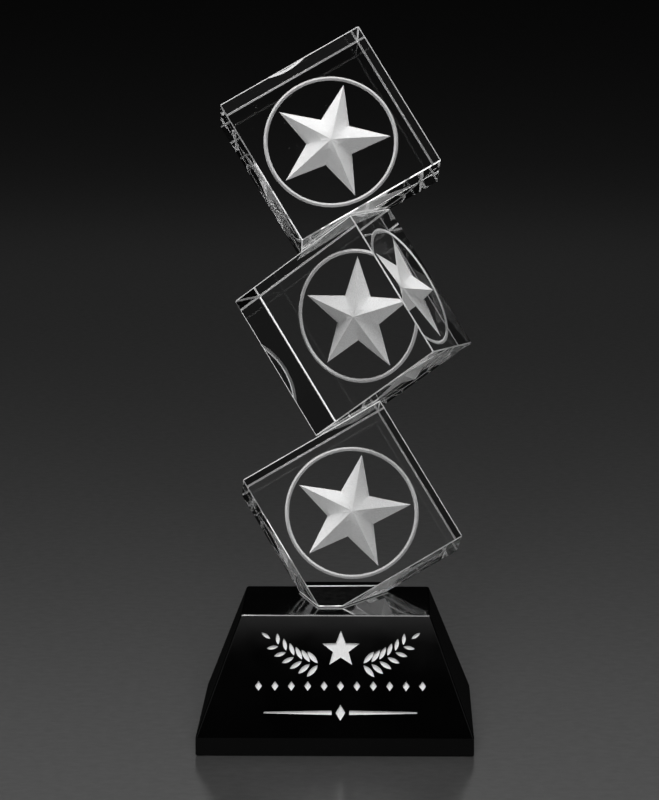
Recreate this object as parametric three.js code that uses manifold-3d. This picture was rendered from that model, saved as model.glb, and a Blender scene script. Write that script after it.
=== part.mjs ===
// Star trophy: three clear crystal blocks, each with a star carved into its rear face, bonded corner over
// corner in a leaning stack on a black crystal base. Millimetres, +Z up, front towards -Y. The origin is the
// middle of the footprint, on the surface that the trophy stands on.

import * as THREE from "three";
import { mergeVertices } from "three/addons/utils/BufferGeometryUtils.js";
import Module from "manifold-3d";

const wasm = await Module();
wasm.setup();

// Base: a square plinth below four sloping sides, on a thin flocked pad.
const BASE_WIDTH = 101.6;
const BASE_HEIGHT = 49.4; // from the standing surface, pad included
const PLINTH_TOP = 7.2;
const TOP_WIDTH = 69.4;
const TOP_DEPTH = 62.4;
const BASE_CHAMFER = 0.4;
const PAD_THICKNESS = 0.6;
const PAD_INSET = 2.5; // from the base's footprint

// Crystal blocks: square in front view, with every edge chamfered.
const BLOCK_SIDE = 60;
const BLOCK_DEPTH = 32.5;
const BLOCK_CHAMFER = 0.4;

// Stack: the blocks stand one on another along one axis, which is tilted to the left in its own plane and then
// leaned back. Each block is twisted about that axis and shifted across it.
const LEAN_BACK = 17; // degrees
const TILT_LEFT = 31; // degrees
const STACK_X = 5.2; // centre of the lower block
const STACK_Y = 12;
const BLOCKS = [
  { name: "lower", twist: 3, shift: [0, 0], starTurn: 49.5 },
  { name: "middle", twist: -31.5, shift: [37, -18.5], starTurn: 55.5 },
  { name: "upper", twist: 2, shift: [63, -34], starTurn: 47 },
]; // twist and starTurn in degrees; starTurn is the first tip's angle from the block's own X

// Seat: the lower block's bottom edge is ground flat to stand on the base.
const SEAT_CUT = 3.4; // how much is ground off at the front corner; the lean makes it deeper at the rear

// Bonds: clear adhesive films, with a hair of clearance to the crystal on each side.
const BOND_THICKNESS = 0.2;
const BOND_CLEARANCE = 0.05;
const BOND_INSET = 0.4; // from the edges of the faces it joins, inside their chamfers
const JOINT = BOND_THICKNESS + 2 * BOND_CLEARANCE;

// Carving in each block's rear face: a faceted five-pointed star inside a V-shaped ring groove.
const STAR_TIPS = 5;
const STAR_RADIUS = 22.6;
const STAR_WAIST = 9.2; // radius of the notches between the tips
const STAR_DEPTH = 6;
const RING_RADIUS = 25.3; // outer edge
const RING_WIDTH = 1.5;
const RING_DEPTH = 0.8;
const RING_STEPS = 72;
const CARVING_SHIFT = [1.4, 1.4]; // right and up from the middle of the face
const OVERSHOOT = 1; // how far a cutter reaches out of the face it cuts

const blackCrystal = new THREE.MeshStandardMaterial({ color: 0x08090b, roughness: 0.05, metalness: 0 });
const clearCrystal = new THREE.MeshStandardMaterial({
  color: 0xf2f6f7,
  roughness: 0.02,
  metalness: 0,
  transparent: true,
  opacity: 0.35,
});
const adhesive = new THREE.MeshStandardMaterial({ color: 0xe8ecec, roughness: 0.1, metalness: 0 });
const flock = new THREE.MeshStandardMaterial({ color: 0x141416, roughness: 0.95, metalness: 0 });

const degrees = THREE.MathUtils.degToRad;

// A closed three.js geometry, moved by a matrix if one is given, as a manifold-3d solid.
function solidOf(geometry, matrix = new THREE.Matrix4()) {
  const plain = geometry.clone();
  plain.deleteAttribute("normal");
  plain.deleteAttribute("uv");
  plain.applyMatrix4(matrix);
  const merged = mergeVertices(plain, 1e-4);
  return new wasm.Manifold(
    new wasm.Mesh({
      numProp: 3,
      vertProperties: merged.attributes.position.array,
      triVerts: new Uint32Array(merged.index.array),
    }),
  );
}

function geometryOf(solid) {
  const made = solid.getMesh();
  return new THREE.BufferGeometry()
    .setAttribute("position", new THREE.BufferAttribute(made.vertProperties, 3))
    .setIndex(new THREE.BufferAttribute(made.triVerts, 1));
}

function meshOf(name, geometry, material) {
  const mesh = new THREE.Mesh(geometry, material);
  geometry.computeVertexNormals();
  mesh.name = name;
  return mesh;
}

// A solid through level rings of points, all with the same count, from the lowest ring to the highest.
function loft(rings) {
  const count = rings[0].length;
  const points = rings.flat();
  const faces = [];
  for (let level = 0; level + 1 < rings.length; level++) {
    for (let i = 0; i < count; i++) {
      const a = level * count + i;
      const b = level * count + ((i + 1) % count);
      faces.push(a, b, b + count, a, b + count, a + count);
    }
  }
  const top = (rings.length - 1) * count;
  for (let i = 1; i + 1 < count; i++) {
    faces.push(0, i + 1, i, top, top + i, top + i + 1);
  }
  return new THREE.BufferGeometry()
    .setAttribute("position", new THREE.Float32BufferAttribute(points.flat(), 3))
    .setIndex(faces);
}

// A level rectangle with chamfered corners, as the eight points of a ring.
function rectangle(width, depth, z, chamfer) {
  const x = width / 2;
  const y = depth / 2;
  const c = chamfer;
  return [
    [-x + c, -y],
    [x - c, -y],
    [x, -y + c],
    [x, y - c],
    [x - c, y],
    [-x + c, y],
    [-x, y - c],
    [-x, -y + c],
  ].map(([px, py]) => [px, py, z]);
}

function basePad() {
  const width = BASE_WIDTH - 2 * PAD_INSET;
  return loft([
    rectangle(width, width, 0, PAD_INSET),
    rectangle(width, width, PAD_THICKNESS, PAD_INSET),
  ]);
}

function baseBlock() {
  const c = BASE_CHAMFER;
  const rise = BASE_HEIGHT - PLINTH_TOP;
  const upperWidth = TOP_WIDTH + ((BASE_WIDTH - TOP_WIDTH) * c) / rise;
  const upperDepth = TOP_DEPTH + ((BASE_WIDTH - TOP_DEPTH) * c) / rise;
  return loft([
    rectangle(BASE_WIDTH - 2 * c, BASE_WIDTH - 2 * c, PAD_THICKNESS, c),
    rectangle(BASE_WIDTH, BASE_WIDTH, PAD_THICKNESS + c, c),
    rectangle(BASE_WIDTH, BASE_WIDTH, PLINTH_TOP, c),
    rectangle(upperWidth, upperDepth, BASE_HEIGHT - c, c),
    rectangle(TOP_WIDTH - 2 * c, TOP_DEPTH - 2 * c, BASE_HEIGHT, c),
  ]);
}

// A pyramid down to its apex from a star outline in the plane of the rear face, carried on past that plane.
function starCutter(turn) {
  const spread = 1 + OVERSHOOT / STAR_DEPTH;
  const apex = [0, -STAR_DEPTH, 0];
  const points = [apex, [0, OVERSHOOT, 0]];
  const faces = [];
  const corners = 2 * STAR_TIPS;
  for (let i = 0; i < corners; i++) {
    const angle = degrees(turn) + (i * Math.PI) / STAR_TIPS;
    const radius = (i % 2 ? STAR_WAIST : STAR_RADIUS) * spread;
    points.push([radius * Math.cos(angle), OVERSHOOT, radius * Math.sin(angle)]);
    const here = 2 + i;
    const next = 2 + ((i + 1) % corners);
    faces.push(0, here, next, 1, next, here);
  }
  return new THREE.BufferGeometry()
    .setAttribute("position", new THREE.Float32BufferAttribute(points.flat(), 3))
    .setIndex(faces);
}

// A V-section ring about Y, with its point down in the glass and its open side past the face.
function ringCutter() {
  const middle = RING_RADIUS - RING_WIDTH / 2;
  const half = (RING_WIDTH / 2) * (1 + OVERSHOOT / RING_DEPTH);
  const profile = [
    [middle, -RING_DEPTH],
    [middle + half, OVERSHOOT],
    [middle - half, OVERSHOOT],
    [middle, -RING_DEPTH],
  ].map(([x, y]) => new THREE.Vector2(x, y));
  return new THREE.LatheGeometry(profile, RING_STEPS);
}

// A block with all its edges chamfered, centred on its own origin, without its carving.
function plainBlock() {
  const x = BLOCK_SIDE / 2 - BLOCK_CHAMFER;
  const corner = BLOCK_CHAMFER * (Math.SQRT2 - 1); // the bevel of the extrusion widens it to the full chamfer
  const outline = new THREE.Shape([
    new THREE.Vector2(-x + corner, -x),
    new THREE.Vector2(x - corner, -x),
    new THREE.Vector2(x, -x + corner),
    new THREE.Vector2(x, x - corner),
    new THREE.Vector2(x - corner, x),
    new THREE.Vector2(-x + corner, x),
    new THREE.Vector2(-x, x - corner),
    new THREE.Vector2(-x, -x + corner),
  ]);
  return new THREE.ExtrudeGeometry(outline, {
    depth: BLOCK_DEPTH - 2 * BLOCK_CHAMFER,
    bevelEnabled: true,
    bevelThickness: BLOCK_CHAMFER,
    bevelSize: BLOCK_CHAMFER,
    bevelSegments: 1,
  })
    .translate(0, 0, BLOCK_CHAMFER - BLOCK_DEPTH / 2)
    .rotateX(Math.PI / 2);
}

function carvedBlock(starTurn) {
  const onRearFace = new THREE.Matrix4().makeTranslation(CARVING_SHIFT[0], BLOCK_DEPTH / 2, CARVING_SHIFT[1]);
  return solidOf(plainBlock())
    .subtract(solidOf(starCutter(starTurn), onRearFace))
    .subtract(solidOf(ringCutter(), onRearFace));
}

// The frame of a block within the stack.
function placeInStack(object, { twist, shift }, level) {
  object.position.set(shift[0], shift[1], level * (BLOCK_SIDE + JOINT));
  object.rotation.z = degrees(twist);
  object.updateMatrix();
  return object;
}

// A tall column over a block's footprint, in the stack's frame, which says where a bond may lie.
function footprint(block, level) {
  const width = BLOCK_SIDE - 2 * (BLOCK_CHAMFER + BOND_INSET);
  const depth = BLOCK_DEPTH - 2 * (BLOCK_CHAMFER + BOND_INSET);
  const column = new THREE.BoxGeometry(width, depth, 2 * BLOCK_SIDE);
  return solidOf(column, placeInStack(new THREE.Object3D(), block, level).matrix);
}

// The film between a block and the one above it, in the stack's frame, where their faces overlap.
function jointBond(level) {
  const wide = 4 * BLOCK_SIDE;
  const middle = level * (BLOCK_SIDE + JOINT) + BLOCK_SIDE / 2 + JOINT / 2;
  const film = new THREE.BoxGeometry(wide, wide, BOND_THICKNESS).translate(0, 0, middle);
  return solidOf(film)
    .intersect(footprint(BLOCKS[level], level))
    .intersect(footprint(BLOCKS[level + 1], level + 1));
}

// Everything below a height, as a block large enough to grind the seat with.
function halfSpaceBelow(z) {
  const wide = 4 * BLOCK_SIDE;
  return new THREE.BoxGeometry(wide, wide, wide).translate(0, 0, z - wide / 2);
}

const trophy = new THREE.Group();
trophy.add(meshOf("base_pad", basePad(), flock));
trophy.add(meshOf("base_block", baseBlock(), blackCrystal));

const stack = new THREE.Group();
stack.rotation.set(degrees(-LEAN_BACK), degrees(-TILT_LEFT), 0);
trophy.add(stack);
const blocks = BLOCKS.map((block, level) => {
  const mesh = new THREE.Mesh(new THREE.BufferGeometry(), clearCrystal);
  stack.add(placeInStack(mesh, block, level));
  mesh.name = block.name + "_block";
  return mesh;
});

// The stack is lowered until the lower block's front bottom corner is the seat cut below the base's top.
const corner = new THREE.Vector3(-BLOCK_SIDE / 2, -BLOCK_DEPTH / 2, -BLOCK_SIDE / 2);
corner.applyEuler(blocks[0].rotation).applyEuler(stack.rotation);
stack.position.set(STACK_X, STACK_Y, BASE_HEIGHT - SEAT_CUT - corner.z);
trophy.updateMatrixWorld(true);

const [lowerBlock] = blocks;
const intoLower = lowerBlock.matrixWorld.clone().invert();
const seatHeight = BASE_HEIGHT + JOINT;
blocks.forEach((mesh, level) => {
  let solid = carvedBlock(BLOCKS[level].starTurn);
  if (mesh === lowerBlock) {
    solid = solid.subtract(solidOf(halfSpaceBelow(seatHeight), intoLower));
  }
  mesh.geometry = geometryOf(solid);
  mesh.geometry.computeVertexNormals();
});

// The seat's film fills the lower block's own outline just above the base's top.
const seatBottom = BASE_HEIGHT + BOND_CLEARANCE;
const seatBond = solidOf(plainBlock(), lowerBlock.matrixWorld)
  .intersect(solidOf(halfSpaceBelow(seatBottom + BOND_THICKNESS)))
  .subtract(solidOf(halfSpaceBelow(seatBottom)));
trophy.add(meshOf("seat_bond", geometryOf(seatBond), adhesive));
stack.add(meshOf("lower_joint_bond", geometryOf(jointBond(0)), adhesive));
stack.add(meshOf("upper_joint_bond", geometryOf(jointBond(1)), adhesive));

export default trophy;
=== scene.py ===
"""Star trophy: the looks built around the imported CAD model. Metres, +Z up, front towards -Y.

The crystal blocks, the black base and the bonds are rebuilt here from the CAD nodes' own places,
with ground bevels, frosted carvings and an etched ornament. The flocked pad is the CAD node with
a better material.
"""

import math

import bmesh
import bpy
from mathutils import Matrix, Vector


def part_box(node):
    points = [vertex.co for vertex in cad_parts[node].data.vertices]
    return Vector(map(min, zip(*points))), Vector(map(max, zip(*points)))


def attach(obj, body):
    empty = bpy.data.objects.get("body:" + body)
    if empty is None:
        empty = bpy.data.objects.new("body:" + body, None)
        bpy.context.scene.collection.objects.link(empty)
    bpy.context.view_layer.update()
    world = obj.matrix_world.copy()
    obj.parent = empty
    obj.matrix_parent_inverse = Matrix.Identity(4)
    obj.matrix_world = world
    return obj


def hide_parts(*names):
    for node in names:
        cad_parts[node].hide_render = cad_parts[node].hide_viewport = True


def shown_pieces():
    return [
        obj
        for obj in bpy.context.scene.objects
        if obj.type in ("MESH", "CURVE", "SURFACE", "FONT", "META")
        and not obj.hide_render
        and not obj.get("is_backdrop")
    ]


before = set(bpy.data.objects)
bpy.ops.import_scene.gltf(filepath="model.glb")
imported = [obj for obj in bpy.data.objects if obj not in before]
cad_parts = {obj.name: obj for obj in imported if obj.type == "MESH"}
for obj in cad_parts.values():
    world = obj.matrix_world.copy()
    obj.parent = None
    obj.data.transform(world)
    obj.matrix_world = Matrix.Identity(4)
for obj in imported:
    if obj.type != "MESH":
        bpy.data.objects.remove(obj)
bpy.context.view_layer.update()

MM = 0.001
CRYSTAL_IOR = 1.52
LAMP_SHARE = 0.98  # of a lamp's light that each crystal surface passes on to the carvings

# Crystal blocks.
ARRIS = 0.4 * MM  # how far the flat ground bevel reaches into each face
SEAT_ARRIS = 0.4 * MM
ARRIS_WHITE_AND_GLINT = 0.7  # how much of the bevel's look is white: partly the ground crystal's own, partly painted highlight standing in for glints along the edges
ARRIS_PASSING = 0.35  # how much of that white is light from behind
FROST_PASSING = 0.12  # how much of the carvings' white is light from behind
SEAT_TOLERANCE = 0.1 * MM  # a block that reaches further below its CAD box has a seat

# Carving in the rear face of each block: a faceted star inside a V-shaped ring groove.
CARVING_SHIFT = (1.4 * MM, 1.4 * MM)  # right and up from the middle of the face
OVERSHOOT = 1 * MM  # how far a cutter reaches out of the face it cuts
STAR_TURN = {"lower_block": 49.5, "middle_block": 55.5, "upper_block": 47.0}  # degrees to a tip
STAR_TIPS = 5
STAR_RADIUS = 22.6 * MM
STAR_WAIST = 9.2 * MM
STAR_DEPTH = 6 * MM
STAR_CROWN = 1.22  # above 1, the facets flatten towards the middle and steepen towards the rim
STAR_ALONG = (0, 0.25, 0.45, 0.6, 0.72, 0.81, 0.88, 0.94, 0.98, 1)  # steps from tip to notch
STAR_OUT = (0.06, 0.14, 0.24, 0.36, 0.5, 0.64, 0.76, 0.86, 0.93, 0.97, 1)  # from middle to rim
VALLEY_SOFTNESS = 1.8 * MM  # rounds the valleys between the arms; the ridges stay crisp
VALLEY_START = 0.35  # the share of the way out by which the valleys have their full softness
VALLEY_END = 0.12  # the share over which they turn crisp again at the rim
RING_RADIUS = 25.3 * MM  # outer edge
RING_WIDTH = 1.5 * MM
RING_DEPTH = 0.8 * MM
RING_STEPS = 144
RING_ACROSS = (-1, -0.6, -0.3, -0.12, 0, 0.12, 0.3, 0.6, 1)  # in half widths
RING_SOFTNESS = 0.15  # of the groove's bottom, in half widths

# Black base: softened edges, and an etched ornament on its sloping front.
EDGE_SOFTNESS = 0.12 * MM
PLINTH_TOP = 7.2 * MM
PLINTH_PAINTED_LIGHT = 0.005  # painted light: how much lighter than the rest the plinth's colour is, standing in for the floor mirrored in its upright sides
ETCH_DEPTH = 0.3 * MM
ETCH_SHIFT = 2.0 * MM  # of the whole ornament, to the right of the middle

# Bonds: the film wets the crystal on both sides, so that light crosses it without a mirror-like
# gap.
BOND_REACH = 0.02 * MM  # into the crystal on each side
CAD_CLEARANCE = 0.05 * MM  # that the CAD film leaves on each side
BOND_HAZE = 2.2 * MM  # size of the cloudy spots in the adhesive


# --------------------------------------------------------------------------------- materials


def grey(value):
    return (value, value, value)


class Nodes:
    """A material's node tree, built by short calls."""

    def __init__(self, name):
        self.material = bpy.data.materials.new(name)
        self.material.use_nodes = True
        self.tree = self.material.node_tree
        self.tree.nodes.clear()
        self.output = self.tree.nodes.new("ShaderNodeOutputMaterial")
        self.place = self.tree.nodes.new("ShaderNodeTexCoord").outputs["Object"]

    def add(self, kind, inputs=None, **settings):
        node = self.tree.nodes.new("ShaderNode" + kind)
        for key, value in settings.items():
            setattr(node, key, value)
        for key, value in (inputs or {}).items():
            if isinstance(value, bpy.types.NodeSocket):
                self.tree.links.new(value, node.inputs[key])
            else:
                node.inputs[key].default_value = value
        return node

    def noise(self, size, detail, roughness=0.5):
        """Noise whose features are about size metres across."""
        inputs = {"Vector": self.place, "Scale": 1 / size, "Detail": detail}
        return self.add("TexNoise", {**inputs, "Roughness": roughness}).outputs["Fac"]

    def spread(self, value, low, high, start=0.3, end=0.7):
        """value, from start to end, as a number from low to high."""
        span = {"From Min": start, "From Max": end, "To Min": low, "To Max": high}
        return self.add("MapRange", {"Value": value, **span}).outputs["Result"]

    def blend(self, value, dark, light, start=0.3, end=0.7):
        """value, from start to end, as a grey from dark to light."""
        ramp = self.add("ValToRGB", {"Fac": value})
        ramp.color_ramp.elements[0].position = start
        ramp.color_ramp.elements[0].color = (*grey(dark), 1)
        ramp.color_ramp.elements[1].position = end
        ramp.color_ramp.elements[1].color = (*grey(light), 1)
        return ramp.outputs["Color"]

    def bump(self, height, depth, strength=1.0):
        """A normal from a height of 0 to 1 that stands for depth metres."""
        inputs = {"Height": height, "Distance": depth, "Strength": strength}
        return self.add("Bump", inputs).outputs["Normal"]

    def glass(self, tint, roughness=0.0):
        inputs = {"Base Color": tint, "Roughness": roughness, "IOR": CRYSTAL_IOR}
        return self.add("BsdfPrincipled", {**inputs, "Transmission Weight": 1.0})

    def mix(self, share, first, second):
        """The shader first, with that share of second."""
        return self.add("MixShader", {0: share, 1: first.outputs[0], 2: second.outputs[0]})

    def finish(self, shader):
        self.tree.links.new(shader.outputs[0], self.output.inputs["Surface"])
        return self.material

    def finish_clear(self, shader):
        """Shows shader to the eye, and lets each lamp's light straight on to what lies inside."""
        lamp_ray = self.add("LightPath").outputs["Is Shadow Ray"]
        clear = self.add("BsdfTransparent", {"Color": (*grey(LAMP_SHARE), 1)})
        return self.finish(self.mix(lamp_ray, shader, clear))


def polished_crystal():
    """Optical crystal, with the faintest streaks in its clearness."""
    nodes = Nodes("polished_crystal")
    streaks = nodes.noise(9 * MM, detail=3)
    return nodes.finish_clear(nodes.glass(nodes.blend(streaks, 0.975, 0.99)))


def ground_arris():
    """The bevels, which keep some of the fine white of the grinding wheel under their polish; that
    white is also partly painted highlight, standing in for glints along the edges.
    """
    nodes = Nodes("ground_arris")
    wheel = nodes.noise(0.9 * MM, detail=4)
    glass = nodes.glass(nodes.blend(wheel, 0.95, 1.0))
    # Partly painted highlight: the bevel's white lights up under any lamp, in place of glints
    # along the edges.
    white = nodes.blend(wheel, 0.8, 0.95)
    facing = nodes.add("BsdfDiffuse", {"Color": white})
    passing = nodes.add("BsdfTranslucent", {"Color": white})
    ground_white_and_glint = nodes.mix(ARRIS_PASSING, facing, passing)
    return nodes.finish_clear(nodes.mix(ARRIS_WHITE_AND_GLINT, glass, ground_white_and_glint))


def frosted_crystal(name, dark, light):
    """Sandblasted crystal, which scatters what reaches it from either side."""
    nodes = Nodes(name)
    grain = nodes.noise(0.3 * MM, detail=3, roughness=0.6)
    normal = nodes.bump(grain, 0.1 * MM)
    tone = nodes.blend(grain, dark, light, 0.35, 0.65)
    facing = nodes.add("BsdfDiffuse", {"Color": tone, "Roughness": 0.6, "Normal": normal})
    passing = nodes.add("BsdfTranslucent", {"Color": tone, "Normal": normal})
    return nodes.finish(nodes.mix(FROST_PASSING, facing, passing))


def cured_adhesive():
    """A clear film with a little milk in it."""
    nodes = Nodes("cured_adhesive")
    haze = nodes.noise(BOND_HAZE, detail=3)
    glass = nodes.glass((0.97, 0.98, 0.975, 1), nodes.spread(haze, 0.0, 0.06))
    milk = nodes.add("BsdfDiffuse", {"Color": (0.85, 0.86, 0.86, 1)})
    return nodes.finish_clear(nodes.mix(nodes.spread(haze, 0.15, 0.3), glass, milk))


def black_crystal():
    """Black crystal, with painted light on the plinth: a shade greyer there, standing in for the
    floor mirrored in its upright sides.
    """
    nodes = Nodes("black_crystal")
    handling = nodes.noise(14 * MM, detail=4)
    rise = nodes.add("SeparateXYZ", {0: nodes.place}).outputs["Z"]
    # Painted light: below the plinth's top the colour turns lighter, standing in for the floor
    # that the plinth mirrors.
    edge = (PLINTH_TOP - EDGE_SOFTNESS, PLINTH_TOP + EDGE_SOFTNESS)
    plinth_painted_light = nodes.spread(rise, PLINTH_PAINTED_LIGHT, 0.0, *edge)
    black = nodes.blend(handling, 0.0002, 0.0005)
    # On colours, a Mix node's inputs are 6 and 7 and its output is 2.
    both = {0: 1.0, 6: black, 7: plinth_painted_light}
    colour = nodes.add("Mix", both, data_type="RGBA", blend_type="ADD").outputs[2]
    polish = nodes.spread(handling, 0.05, 0.08, 0.35, 0.75)
    inputs = {"Base Color": colour, "Roughness": polish, "IOR": CRYSTAL_IOR}
    return nodes.finish(nodes.add("BsdfPrincipled", inputs))


def etched_crystal():
    """The light grey of a shallow sandblasted mark in the black crystal."""
    nodes = Nodes("etched_crystal")
    grain = nodes.noise(0.25 * MM, detail=3, roughness=0.65)
    inputs = {
        "Base Color": nodes.blend(grain, 0.48, 0.70),
        "Roughness": 0.8,
        "IOR": CRYSTAL_IOR,
        "Normal": nodes.bump(grain, 0.05 * MM, 0.7),
    }
    return nodes.finish(nodes.add("BsdfPrincipled", inputs))


def wetted_black():
    """Black crystal seen through the adhesive that wets it, where it mirrors nothing."""
    nodes = Nodes("wetted_black")
    film = nodes.noise(BOND_HAZE, detail=3)
    return nodes.finish(nodes.add("BsdfDiffuse", {"Color": nodes.blend(film, 0.002, 0.006)}))


def flock():
    nodes = Nodes("flock")
    fibre = nodes.noise(0.3 * MM, detail=4, roughness=0.7)
    inputs = {
        "Base Color": nodes.blend(fibre, 0.008, 0.03),
        "Roughness": 0.95,
        "Sheen Weight": 0.6,
        "Sheen Roughness": 0.5,
        "Normal": nodes.bump(fibre, 0.2 * MM),
    }
    return nodes.finish(nodes.add("BsdfPrincipled", inputs))


def pale_floor():
    """A pale, mottled floor that shows a painted dark reflection in mirrors, in place of its own
    colour, as black cards standing around would give.
    """
    nodes = Nodes("pale_floor")
    mottle = nodes.noise(5 * MM, detail=5, roughness=0.6)
    tone = nodes.blend(mottle, 0.67, 0.79)
    pale = nodes.add("BsdfPrincipled", {"Base Color": tone, "Roughness": 0.22})
    path = nodes.add("LightPath").outputs
    # The painted dark reflection is a little lighter where it is seen through the crystal.
    dark = nodes.blend(path["Transmission Depth"], 0.07, 0.22, 0.4, 0.6)
    painted_mirror_shade = nodes.add("BsdfDiffuse", {"Color": dark})
    # Painted reflection: rays that have been mirrored see this dark grey instead of the pale
    # floor.
    test = {0: path["Glossy Depth"], 1: 0.5}
    mirrored = nodes.add("Math", test, operation="GREATER_THAN").outputs[0]
    return nodes.finish(nodes.mix(mirrored, pale, painted_mirror_shade))


ADHESIVE = cured_adhesive()
BLOCK_MATERIALS = [
    polished_crystal(),
    ground_arris(),
    frosted_crystal("frosted_crystal", 0.72, 0.94),
    # A darker copy of the frosting for the ring groove: painted shade in the groove.
    frosted_crystal("groove_painted_shade_crystal", 0.55, 0.78),
    wetted_black(),
]
POLISHED, GROUND, FROSTED, GROOVE_PAINTED_SHADE, WETTED = range(5)  # their numbers
BASE_MATERIALS = [black_crystal(), etched_crystal()]
BLACK, ETCHED = range(2)


# ----------------------------------------------------------------------------- mesh building


def put_in_scene(name, data):
    made = bpy.data.objects.new(name, data)
    bpy.context.scene.collection.objects.link(made)
    return made


def object_from(bm, name, materials):
    mesh = bpy.data.meshes.new(name)
    bm.to_mesh(mesh)
    bm.free()
    for material in materials:
        mesh.materials.append(material)
    return put_in_scene(name, mesh)


def bevel(bm, geom, offset, **settings):
    bmesh.ops.bevel(bm, geom=geom, offset=offset, offset_type="OFFSET", affect="EDGES", **settings)


def carve(piece, cutter, crossing=False):
    """Takes cutter, whose parts may be crossing, out of piece.

    The cut faces keep the cutter's material number.
    """
    cut = piece.modifiers.new("cut", "BOOLEAN")
    cut.operation, cut.solver, cut.object = "DIFFERENCE", "EXACT", cutter
    cut.material_mode = "INDEX"
    cut.use_self = crossing
    bpy.context.view_layer.update()
    finished = piece.evaluated_get(bpy.context.evaluated_depsgraph_get())
    carved = bpy.data.meshes.new_from_object(finished)
    piece.modifiers.clear()
    piece.data = carved
    bpy.data.objects.remove(cutter)


def bridge(bm, rings):
    """Joins closed rings of vertices, all with the same count, by quads in order."""
    for lower, upper in zip(rings, rings[1:]):
        count = len(lower)
        for i in range(count):
            j = (i + 1) % count
            bm.faces.new((lower[i], lower[j], upper[j], upper[i]))


def cutter_object(bm, materials, number, matrix):
    """A cutter in its place. It is turned before its normals are made to point outwards."""
    for face in bm.faces:
        face.material_index = number
    bmesh.ops.transform(bm, matrix=matrix, verts=bm.verts)
    bmesh.ops.recalc_face_normals(bm, faces=bm.faces)
    return object_from(bm, "cutter", materials)


# ---------------------------------------------------------------------------- crystal blocks

MAIN_FACES = 8  # the six sides and the seat, with one to spare
SQUARE = 0.01  # the most that the normals of two square faces may share
ALONG_AXIS = 0.9999  # the least that a side's normal has along its axis


def block_frame(node):
    """The matrix and size of a CAD block: x right, y rear and z up along its own faces."""
    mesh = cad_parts[node].data
    sums = {}
    for face in mesh.polygons:
        key = tuple(round(c, 2) for c in face.normal)
        sums[key] = sums.get(key, Vector()) + face.normal * face.area
    largest = sorted(sums.values(), key=lambda total: total.length)[-MAIN_FACES:]
    flats = [total.normalized() for total in largest]
    front = min(flats, key=lambda n: n.y)
    sideways = [n for n in flats if abs(n.dot(front)) < SQUARE]
    right = max(sideways, key=lambda n: n.x)
    up = max((n for n in sideways if abs(n.dot(right)) < SQUARE), key=lambda n: n.z)
    axes = [right, -front, up]
    spans = [[axis.dot(v.co) for v in mesh.vertices] for axis in axes]
    middle = sum((axis * (min(s) + max(s)) / 2 for axis, s in zip(axes, spans)), Vector())
    size = [max(s) - min(s) for s in spans]
    turn = Matrix(axes).transposed().to_4x4()
    return Matrix.Translation(middle) @ turn, size


def star_cutter(turn):
    """The star pocket as a closed solid: a pyramid with soft valleys, its apex at -Y."""
    half = math.pi / STAR_TIPS
    fall = STAR_DEPTH * (STAR_RADIUS * math.cos(half) / STAR_WAIST - 1)
    fall /= STAR_RADIUS * math.sin(half)
    tip = Vector((STAR_RADIUS, 0))
    notch = Vector((STAR_WAIST * math.cos(half), STAR_WAIST * math.sin(half)))
    across = Vector((-math.sin(half), math.cos(half)))

    bm = bmesh.new()
    apex = bm.verts.new((0, -STAR_DEPTH, 0))
    lid = bm.verts.new((0, OVERSHOOT, 0))
    rings = []
    for share in (*STAR_OUT, 1 + OVERSHOOT / STAR_DEPTH):
        softness = max(0, min(1, share / VALLEY_START, (1 - share) / VALLEY_END))
        soft = VALLEY_SOFTNESS * softness
        crown = STAR_DEPTH * (1 - share**STAR_CROWN)
        ring = []
        for arm in range(STAR_TIPS):
            for side, steps in ((-1, STAR_ALONG[-2::-1]), (1, STAR_ALONG[1:])):
                for step in steps:
                    point = tip.lerp(notch, step) * share
                    aside = abs(point.dot(across))
                    depth = crown + fall * (math.hypot(aside, soft) - aside)
                    angle = math.atan2(point.y, point.x) * side
                    angle += math.radians(turn) + 2 * half * arm
                    x, z = point.length * math.cos(angle), point.length * math.sin(angle)
                    ring.append(bm.verts.new((x, -depth, z)))
        rings.append(ring)
    bridge(bm, rings)
    count = len(rings[0])
    for i in range(count):
        j = (i + 1) % count
        bm.faces.new((apex, rings[0][j], rings[0][i]))
        bm.faces.new((lid, rings[-1][i], rings[-1][j]))
    return bm


def ring_cutter():
    """The ring groove as a closed solid: a V with a soft bottom, open past the face."""
    middle, half = RING_RADIUS - RING_WIDTH / 2, RING_WIDTH / 2
    section = [(middle - half, OVERSHOOT)]
    for share in RING_ACROSS:
        fall = (1 - math.hypot(share, RING_SOFTNESS)) / (1 - RING_SOFTNESS)
        section.append((middle + half * share, -RING_DEPTH * max(0, fall)))
    section.append((middle + half, OVERSHOOT))
    turns = [2 * math.pi * k / RING_STEPS for k in range(RING_STEPS)]
    bm = bmesh.new()
    rings = []
    for radius, y in section:
        spots = [(radius * math.cos(a), y, radius * math.sin(a)) for a in turns]
        rings.append([bm.verts.new(spot) for spot in spots])
    bridge(bm, rings + rings[:1])
    return bm


def grind_seat(block, level):
    """Cuts the block off at level, closes the cut and bevels its rim."""
    bm = bmesh.new()
    bm.from_mesh(block.data)
    cut = bmesh.ops.bisect_plane(
        bm,
        geom=bm.verts[:] + bm.edges[:] + bm.faces[:],
        plane_co=(0, 0, level),
        plane_no=(0, 0, -1),
        clear_outer=True,
    )
    rim = [part for part in cut["geom_cut"] if isinstance(part, bmesh.types.BMEdge)]
    for face in bmesh.ops.contextual_create(bm, geom=rim)["faces"]:
        face.material_index = WETTED
    bevel(bm, rim, SEAT_ARRIS, segments=1, material=GROUND)
    bm.to_mesh(block.data)
    bm.free()


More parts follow.
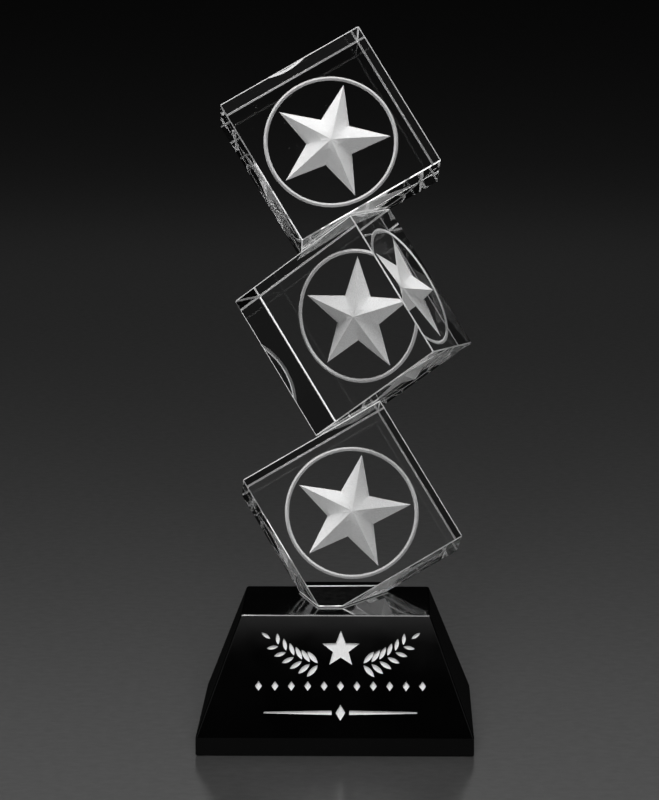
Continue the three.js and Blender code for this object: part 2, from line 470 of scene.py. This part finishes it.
def crystal_block(node, name):
    """A clear block with ground bevels, the frosted carving in its rear face, and any seat."""
    matrix, size = block_frame(node)
    bm = bmesh.new()
    bmesh.ops.create_cube(bm, size=1, matrix=Matrix.Diagonal((*size, 1)))
    bevel(bm, bm.edges[:] + bm.verts[:], ARRIS, segments=1)
    for face in bm.faces:
        is_side = max(abs(c) for c in face.normal) > ALONG_AXIS
        face.material_index = POLISHED if is_side else GROUND
    block = object_from(bm, name, BLOCK_MATERIALS)

    on_rear = Matrix.Translation((CARVING_SHIFT[0], size[1] / 2, CARVING_SHIFT[1]))
    star = star_cutter(STAR_TURN[node])
    carve(block, cutter_object(star, BLOCK_MATERIALS, FROSTED, on_rear))
    carve(block, cutter_object(ring_cutter(), BLOCK_MATERIALS, GROOVE_PAINTED_SHADE, on_rear))
    block.data.transform(matrix)

    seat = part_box(node)[0].z
    if min(v.co.z for v in block.data.vertices) < seat - SEAT_TOLERANCE:
        grind_seat(block, seat)
    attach(block, "root")
    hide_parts(node)


def bond(node, name, on_black=False):
    """A bond as wide as the CAD film, and thick enough to wet the crystal on both sides.

    On black it stops just short of both, because there the crystal's own seat shows what is
    wetted.
    """
    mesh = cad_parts[node].data.copy()
    normal = max(mesh.polygons, key=lambda f: f.area).normal.copy()
    heights = [normal.dot(v.co) for v in mesh.vertices]
    middle = (min(heights) + max(heights)) / 2
    growth = CAD_CLEARANCE - BOND_REACH if on_black else CAD_CLEARANCE + BOND_REACH
    for vertex, height in zip(mesh.vertices, heights):
        vertex.co += normal * math.copysign(growth, height - middle)
    mesh.materials.clear()
    mesh.materials.append(ADHESIVE)
    made = put_in_scene(name, mesh)
    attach(made, "root")
    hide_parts(node)


# -------------------------------------------------------------------------------- black base

# The ornament is drawn flat, in millimetres: x to the right of its middle and y down the slope
# from the top edge.
ETCHED_STAR = (0, 12.6, 7.2)  # x, y and radius
ETCHED_STAR_NOTCH = 0.42  # its inner radius over its outer one
ROW_Y = 26.4
ROW_PITCH = 6
ROW_LOZENGE = (2.6, 3.6)  # width and height
BAR = ((3.2, 35.6), (28.0, 36.1), (28.0, 36.7), (3.2, 37.2))  # the right half, a taper
BAR_LOZENGE = (0, 36.4, 3.6, 6.0)  # x, y, width and height
SPRIG_FOOT = (8.4, 18.2)
SPRIG_REACH = (17.5, 9.6)  # outwards and up
SPRIG_CURVE = 1.7  # above 1, the stalk starts flat and turns up
SPRIG_SLANT, SPRIG_SWING = 8, 44  # degrees that the leaves point down at the foot, and turn up by
SPRIG_PAIRS = 6
SPRIG_SPREADS = (-1.0, 0.7)  # radians from the stalk of the upper and the lower leaf of a pair
LEAF_OFFSET = 0.35  # of a paired leaf from the stalk
LEAF_LENGTH, LEAF_SHRINKS = 5.9, 1.9  # at the foot, and by how much at the top
LEAF_SLIMNESS = 0.32  # width over length
LEAF_FULLNESS = 0.8  # below 1, a leaf is fuller towards its ends
LEAF_STEPS = 7

SLOPE_AREA = 1e-4  # square metres, more than any face but the large ones has
SLOPE_RISE = (0.1, 0.9)  # a sloping side's normal points up by between these
SAME_PLANE = 0.999
SAME_POINT = 0.001 * MM
FLAT_ANGLE = math.radians(1)


def leaf(x, y, length, width, angle):
    """A leaf from its stalk at x, y, pointed at both ends, as an outline."""
    upper = []
    for k in range(1, LEAF_STEPS):
        bulge = math.sin(math.pi * k / LEAF_STEPS) ** LEAF_FULLNESS
        upper.append((length * k / LEAF_STEPS, width / 2 * bulge))
    outline = [(0, 0), *upper, (length, 0), *[(px, -py) for px, py in reversed(upper)]]
    c, s = math.cos(angle), math.sin(angle)
    return [(x + px * c - py * s, y + px * s + py * c) for px, py in outline]


def small_star(x, y, radius):
    """A five-pointed star with one tip up, as an outline."""
    outline = []
    for k in range(2 * STAR_TIPS):
        reach = radius * (ETCHED_STAR_NOTCH if k % 2 else 1)
        angle = math.pi * (k / STAR_TIPS - 0.5)
        outline.append((x + reach * math.cos(angle), y + reach * math.sin(angle)))
    return outline


def lozenge(x, y, width, height):
    return [(x - width / 2, y), (x, y - height / 2), (x + width / 2, y), (x, y + height / 2)]


def sprig(side):
    """A sprig that sweeps outwards and up, with its leaves in pairs and one at its end."""
    outlines = []
    for k in range(SPRIG_PAIRS + 1):
        t = k / SPRIG_PAIRS
        x = SPRIG_FOOT[0] + SPRIG_REACH[0] * t
        y = SPRIG_FOOT[1] - SPRIG_REACH[1] * t**SPRIG_CURVE
        angle = math.radians(SPRIG_SLANT - SPRIG_SWING * t)
        length = LEAF_LENGTH - LEAF_SHRINKS * t
        for spread in (0,) if k == SPRIG_PAIRS else SPRIG_SPREADS:
            lift = math.copysign(LEAF_OFFSET, spread) if spread else 0
            outline = leaf(x, y + lift, length, LEAF_SLIMNESS * length, angle + spread)
            outlines.append([(side * px, py) for px, py in outline])
    return outlines


def ornament():
    outlines = [small_star(*ETCHED_STAR), lozenge(*BAR_LOZENGE)]
    for side in (-1, 1):
        outlines += sprig(side)
        outlines.append([(side * x, y) for x, y in BAR])
    outlines += [lozenge(ROW_PITCH * k, ROW_Y, *ROW_LOZENGE) for k in range(-5, 6)]
    return outlines


def base_front(mesh):
    """From the ornament's drawing to the sloping front: x right, y down and z out of it."""
    low, high = SLOPE_RISE
    slopes = [f for f in mesh.polygons if f.area > SLOPE_AREA and low < f.normal.z < high]
    out = min((f.normal for f in slopes), key=lambda n: n.y).copy()
    down = Vector((1, 0, 0)).cross(out)
    front = [f for f in mesh.polygons if f.normal.dot(out) > SAME_PLANE]
    corners = [mesh.vertices[i].co for f in front for i in f.vertices]
    edge = max(corners, key=lambda p: p.z)
    start = Vector((0, edge.y, edge.z))
    turn = Matrix((Vector((1, 0, 0)), down, out)).transposed().to_4x4()
    return Matrix.Translation(start) @ turn


def etch_cutter(mesh):
    matrix = base_front(mesh) @ Matrix.Translation((ETCH_SHIFT, 0, 0))
    bm = bmesh.new()
    for outline in ornament():
        low = [bm.verts.new((x * MM, y * MM, -ETCH_DEPTH)) for x, y in outline]
        high = [bm.verts.new((x * MM, y * MM, ETCH_DEPTH)) for x, y in outline]
        bm.faces.new(low)
        bm.faces.new(high)
        bridge(bm, [low, high])
    return cutter_object(bm, BASE_MATERIALS, ETCHED, matrix)


def black_base():
    """The base from its CAD solid, with softened edges and the etched ornament."""
    bm = bmesh.new()
    bm.from_mesh(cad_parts["base_block"].data)
    bmesh.ops.remove_doubles(bm, verts=bm.verts, dist=SAME_POINT)
    bmesh.ops.dissolve_limit(bm, angle_limit=FLAT_ANGLE, verts=bm.verts, edges=bm.edges)
    bevel(bm, bm.edges[:], EDGE_SOFTNESS, segments=2, profile=0.5)
    for face in bm.faces:
        face.material_index = BLACK
    base = object_from(bm, "black_base", BASE_MATERIALS)
    carve(base, etch_cutter(base.data), crossing=True)
    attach(base, "root")
    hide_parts("base_block")


for place in ("lower", "middle", "upper"):
    crystal_block(place + "_block", place + "_crystal")
bond("seat_bond", "seat_adhesive", on_black=True)
bond("lower_joint_bond", "lower_joint_adhesive")
bond("upper_joint_bond", "upper_joint_adhesive")
black_base()

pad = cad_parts["base_pad"].data
pad.materials.clear()
pad.materials.append(flock())


# ------------------------------------------------------------------------------------- stage

FLOOR_REACH = 40.0
ROOM_RISE = (0.14, 0.4)  # sines of the elevations between which the room turns lighter
ROOM_LIGHT = (0.0015, 0.009)  # below and above them
HEART = (0, 0, 0.15)  # what the softboxes face
BASE_FRONT = (0, -0.04, 0.03)

bm = bmesh.new()
bmesh.ops.create_grid(bm, x_segments=1, y_segments=1, size=FLOOR_REACH)
floor = object_from(bm, "floor", [pale_floor()])
floor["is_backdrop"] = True

# The room is dim overhead and dark towards the horizon. It is seen in the glass and doesn't
# light what is rough.
world = bpy.data.worlds.new("studio")
world.use_nodes = True
room = world.node_tree
height = room.nodes.new("ShaderNodeSeparateXYZ")
room.links.new(room.nodes.new("ShaderNodeTexCoord").outputs["Generated"], height.inputs[0])
dimmer = room.nodes.new("ShaderNodeMapRange")
for end, rise, light in zip(("Min", "Max"), ROOM_RISE, ROOM_LIGHT):
    dimmer.inputs["From " + end].default_value = rise
    dimmer.inputs["To " + end].default_value = light
room.links.new(height.outputs["Z"], dimmer.inputs["Value"])
room.nodes["Background"].inputs["Color"].default_value = (1, 1, 1, 1)
room.links.new(dimmer.outputs["Result"], room.nodes["Background"].inputs["Strength"])
world.cycles_visibility.diffuse = False
bpy.context.scene.world = world


def receivers(name, pieces):
    """A collection that says what a lamp lights."""
    made = bpy.data.collections.new(name)
    for piece in pieces:
        made.objects.link(piece)
    return made


# The softboxes light the trophy, and wide lamps of their own light the floor, so that the pale
# floor fades to dark behind the crystal as in a gradient sweep.
ON_TROPHY = receivers("trophy_only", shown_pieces())
ON_CRYSTAL = receivers("crystal_only", [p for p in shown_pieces() if p.name != "black_base"])
ON_BASE = receivers("base_only", [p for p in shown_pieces() if p.name == "black_base"])
ON_FLOOR = receivers("floor_only", [floor])


def softbox(name, azimuth, elevation, distance, size, radiance, lights, seen, aim=HEART):
    """An area lamp that faces aim. Azimuth 0 is in front and 90 on the viewer's right.

    It is seen in what is rough, or in what is glossy: mirrored, or through the glass.
    """
    lamp = bpy.data.lights.new(name, "AREA")
    lamp.shape = "RECTANGLE"
    lamp.size, lamp.size_y = size
    lamp.energy = radiance * math.pi * size[0] * size[1]
    made = put_in_scene(name, lamp)
    turn, rise = math.radians(azimuth), math.radians(elevation)
    level = math.cos(rise)
    away = Vector((math.sin(turn) * level, -math.cos(turn) * level, math.sin(rise)))
    made.location = Vector(aim) + away * distance
    made.rotation_euler = away.to_track_quat("Z", "Y").to_euler()
    made.visible_camera = False
    made.visible_diffuse = seen == "rough"
    made.visible_glossy = made.visible_transmission = seen == "glossy"
    made.light_linking.receiver_collection = lights


softbox("key", -60, 80, 2.0, (1.0, 0.8), 28, ON_TROPHY, "rough")
softbox("fill", 0, -4, 1.2, (1.2, 0.12), 14, ON_TROPHY, "rough")
softbox("roof", 180, 75, 1.05, (2.2, 1.6), 0.9, ON_TROPHY, "glossy")
softbox("high_left", -45, 62, 1.0, (0.4, 0.32), 4, ON_TROPHY, "glossy")
softbox("rear_high", 180, 26, 1.0, (0.47, 0.31), 4, ON_CRYSTAL, "glossy")
softbox("rear_left", -150, 12, 1.0, (0.3, 0.3), 3, ON_CRYSTAL, "glossy")
softbox("rear_right", 150, 9, 1.0, (0.4, 0.3), 2.4, ON_CRYSTAL, "glossy")
softbox("edge_strip", 0, 90, 1.0, (1.6, 0.42), 22, ON_BASE, "glossy", BASE_FRONT)
softbox("front_glow", 0, 50, 1.2, (1.2, 0.41), 0.45, ON_BASE, "glossy", BASE_FRONT)
softbox("sweep", 0, 0, 3.7, (1.5, 1.0), 6.9, ON_FLOOR, "rough", (0, 0, 1.2))
softbox("sweep_far", 0, 90, 0.8, (1.2, 0.4), 0.075, ON_FLOOR, "rough", (0, 2.0, 0))
softbox("horizon", 180, 0, 2.5, (2.4, 1.0), 0.22, ON_FLOOR, "glossy", (0, 0, 1.0))

camera = put_in_scene("camera", bpy.data.cameras.new("camera"))
camera.data.lens = 186.3  # millimetres, as the sensor
camera.data.sensor_width = 36
camera.location = (0.0215, -1.5322, 0.3165)
camera.rotation_euler = (math.radians(82.88), 0, math.radians(0.905))
bpy.context.scene.camera = camera

bpy.context.scene.view_settings.view_transform = "Standard"
bpy.context.scene.cycles.caustics_refractive = False
bpy.context.scene.cycles.caustics_reflective = False
